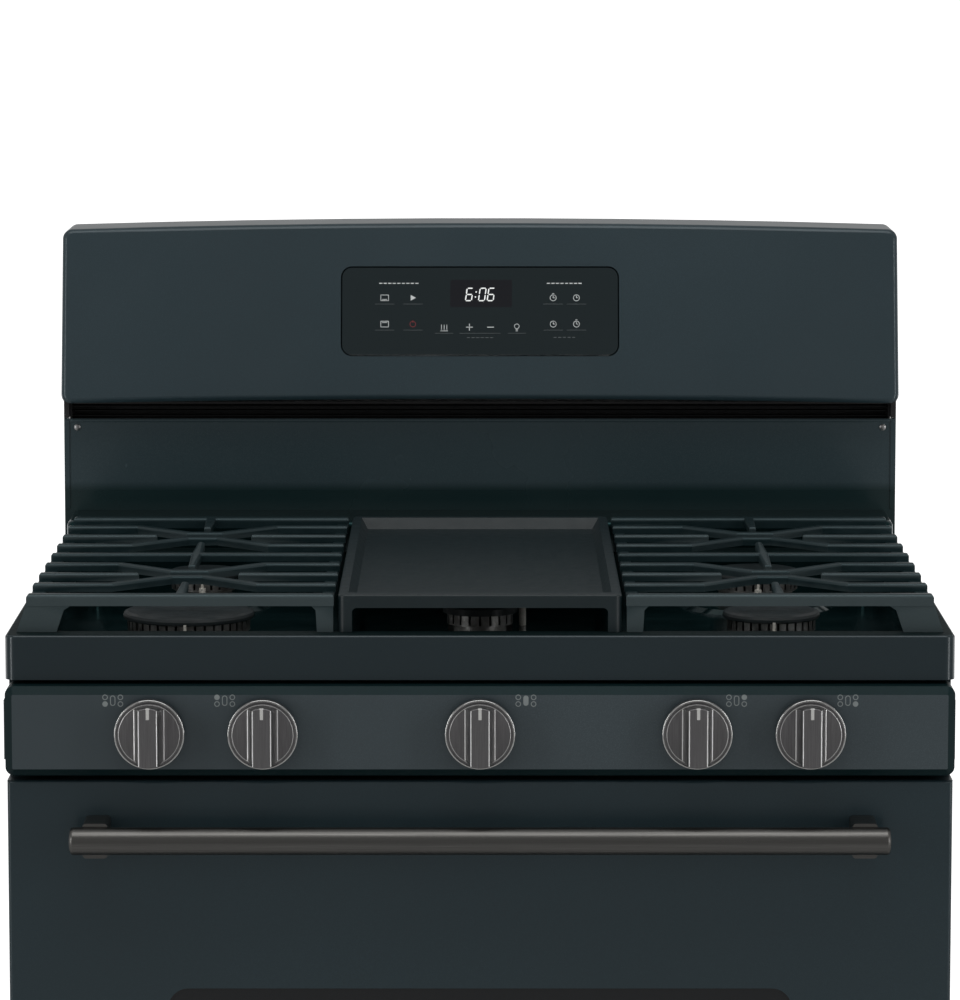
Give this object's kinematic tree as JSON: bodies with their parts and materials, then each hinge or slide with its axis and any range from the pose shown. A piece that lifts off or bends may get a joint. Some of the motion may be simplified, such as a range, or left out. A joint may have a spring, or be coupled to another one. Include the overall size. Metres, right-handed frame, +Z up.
{
  "type": "freestanding gas range",
  "caption": "Freestanding gas range with sealed burners under lift-off grates, a centre griddle, turn-and-push knobs, a drop-down oven door, racks, a storage drawer and a rear console.",
  "frame": {"origin": "on the floor, in the middle of the range's outline", "axes": "+X to the right seen from the front, +Y to the wall behind, +Z up; the door faces -Y"},
  "size_m": [0.7595, 0.73, 1.207],
  "materials": {
    "slate_panel": "dark slate paint, satin metallic",
    "dark_enamel": "black porcelain enamel, glossy",
    "cast_iron": "matt black cast iron",
    "dark_steel": "dark brushed steel",
    "handle_steel": "brushed steel",
    "black_glass": "black glass, polished",
    "window_glass": "tinted oven glass",
    "burner_aluminium": "die-cast aluminium",
    "galvanised": "galvanised sheet",
    "chrome_wire": "nickel-chrome wire",
    "glass_wool": "glass-wool blanket",
    "woven_seal": "woven glass-fibre seal",
    "valve_brass": "machined brass",
    "white_ceramic": "glazed ceramic",
    "black_plastic": "black plastic",
    "tube_aluminium": "drawn tube"
  },
  "bodies": {
    "root": {"side_panel_left": "slate_panel", "side_panel_right": "slate_panel", "rear_panel": "galvanised", "rear_screws": "galvanised", "base_frame": "galvanised", "leveling_legs": "galvanised", "front_frame": "dark_enamel", "oven_liner": "dark_enamel", "oven_floor": "dark_enamel", "oven_insulation": "glass_wool", "bake_burner": "galvanised", "broil_burner": "galvanised", "oven_lamp": "window_glass", "door_gasket": "woven_seal", "hinge_arms": "galvanised", "control_panel": "slate_panel", "gas_valves": "valve_brass", "gas_manifold": "galvanised", "gas_tubes": "tube_aluminium", "gas_regulator": "galvanised", "cooktop": "dark_enamel", "igniters": "white_ceramic", "backsplash": "slate_panel", "oven_vent": "dark_enamel", "console_shell": "slate_panel", "control_glass": "black_glass", "display_module": "black_plastic", "burner_head_left_front": "burner_aluminium", "burner_head_left_rear": "burner_aluminium", "burner_head_right_rear": "burner_aluminium", "burner_head_right_front": "burner_aluminium", "burner_head_centre": "burner_aluminium"},
    "door": {"door_panel": "slate_panel", "door_glass": "window_glass", "door_liner": "dark_enamel", "door_inner_glass": "window_glass", "door_handle": "handle_steel", "handle_mounts": "handle_steel"},
    "drawer": {"drawer_front": "slate_panel", "drawer_box": "galvanised"},
    "rack_lower": {"rack_lower": "chrome_wire"},
    "rack_upper": {"rack_upper": "chrome_wire"},
    "grate_left": {"grate_left": "cast_iron"},
    "grate_right": {"grate_right": "cast_iron"},
    "griddle": {"griddle": "cast_iron"},
    "cap_left_front": {"burner_cap_left_front": "dark_enamel"},
    "cap_left_rear": {"burner_cap_left_rear": "dark_enamel"},
    "cap_right_rear": {"burner_cap_right_rear": "dark_enamel"},
    "cap_right_front": {"burner_cap_right_front": "dark_enamel"},
    "cap_centre": {"burner_cap_centre": "dark_enamel"},
    "stem_left_front": {"valve_stem_left_front": "handle_steel"},
    "knob_left_front": {"knob_left_front": "dark_steel"},
    "stem_left_rear": {"valve_stem_left_rear": "handle_steel"},
    "knob_left_rear": {"knob_left_rear": "dark_steel"},
    "stem_centre": {"valve_stem_centre": "handle_steel"},
    "knob_centre": {"knob_centre": "dark_steel"},
    "stem_right_rear": {"valve_stem_right_rear": "handle_steel"},
    "knob_right_rear": {"knob_right_rear": "dark_steel"},
    "stem_right_front": {"valve_stem_right_front": "handle_steel"},
    "knob_right_front": {"knob_right_front": "dark_steel"}
  },
  "joints": [
    {"name": "door_hinge", "type": "hinge", "parent": "root", "child": "door", "pos_m": [0, -0.306, 0.2583], "axis": [1, 0, 0], "range_deg": [0, 90], "stiffness_Nm_per_rad": 12, "springref_deg": -20.05},
    {"name": "drawer_slide", "type": "slide", "parent": "root", "child": "drawer", "axis": [0, -1, 0], "range_m": [0, 0.4]},
    {"name": "rack_lower_slide", "type": "slide", "parent": "root", "child": "rack_lower", "axis": [0, -1, 0], "range_m": [0, 0.025]},
    {"name": "rack_upper_slide", "type": "slide", "parent": "root", "child": "rack_upper", "axis": [0, -1, 0], "range_m": [0, 0.025]},
    {"name": "grate_left_lift", "type": "slide", "parent": "root", "child": "grate_left", "axis": [0, 0, 1], "range_m": [0, 0.15]},
    {"name": "grate_right_lift", "type": "slide", "parent": "root", "child": "grate_right", "axis": [0, 0, 1], "range_m": [0, 0.15]},
    {"name": "griddle_lift", "type": "slide", "parent": "root", "child": "griddle", "axis": [0, 0, 1], "range_m": [0, 0.15]},
    {"name": "cap_left_front_lift", "type": "slide", "parent": "root", "child": "cap_left_front", "axis": [0, 0, 1], "range_m": [0, 0.014]},
    {"name": "cap_left_rear_lift", "type": "slide", "parent": "root", "child": "cap_left_rear", "axis": [0, 0, 1], "range_m": [0, 0.014]},
    {"name": "cap_right_rear_lift", "type": "slide", "parent": "root", "child": "cap_right_rear", "axis": [0, 0, 1], "range_m": [0, 0.014]},
    {"name": "cap_right_front_lift", "type": "slide", "parent": "root", "child": "cap_right_front", "axis": [0, 0, 1], "range_m": [0, 0.014]},
    {"name": "cap_centre_lift", "type": "slide", "parent": "root", "child": "cap_centre", "axis": [0, 0, 1], "range_m": [0, 0.014]},
    {"name": "knob_left_front_turn", "type": "hinge", "parent": "root", "child": "stem_left_front", "pos_m": [-0.2625, -0.325, 0.8458], "axis": [0, -1, 0], "range_deg": [0, 270]},
    {"name": "knob_left_front_push", "type": "slide", "parent": "stem_left_front", "child": "knob_left_front", "axis": [0, 1, 0], "range_m": [0, 0.003], "stiffness_N_per_m": 400},
    {"name": "knob_left_rear_turn", "type": "hinge", "parent": "root", "child": "stem_left_rear", "pos_m": [-0.1725, -0.325, 0.8458], "axis": [0, -1, 0], "range_deg": [0, 270]},
    {"name": "knob_left_rear_push", "type": "slide", "parent": "stem_left_rear", "child": "knob_left_rear", "axis": [0, 1, 0], "range_m": [0, 0.003], "stiffness_N_per_m": 400},
    {"name": "knob_centre_turn", "type": "hinge", "parent": "root", "child": "stem_centre", "pos_m": [0, -0.325, 0.8458], "axis": [0, -1, 0], "range_deg": [0, 270]},
    {"name": "knob_centre_push", "type": "slide", "parent": "stem_centre", "child": "knob_centre", "axis": [0, 1, 0], "range_m": [0, 0.003], "stiffness_N_per_m": 400},
    {"name": "knob_right_rear_turn", "type": "hinge", "parent": "root", "child": "stem_right_rear", "pos_m": [0.1725, -0.325, 0.8458], "axis": [0, -1, 0], "range_deg": [0, 270]},
    {"name": "knob_right_rear_push", "type": "slide", "parent": "stem_right_rear", "child": "knob_right_rear", "axis": [0, 1, 0], "range_m": [0, 0.003], "stiffness_N_per_m": 400},
    {"name": "knob_right_front_turn", "type": "hinge", "parent": "root", "child": "stem_right_front", "pos_m": [0.2625, -0.325, 0.8458], "axis": [0, -1, 0], "range_deg": [0, 270]},
    {"name": "knob_right_front_push", "type": "slide", "parent": "stem_right_front", "child": "knob_right_front", "axis": [0, 1, 0], "range_m": [0, 0.003], "stiffness_N_per_m": 400}
  ]
}
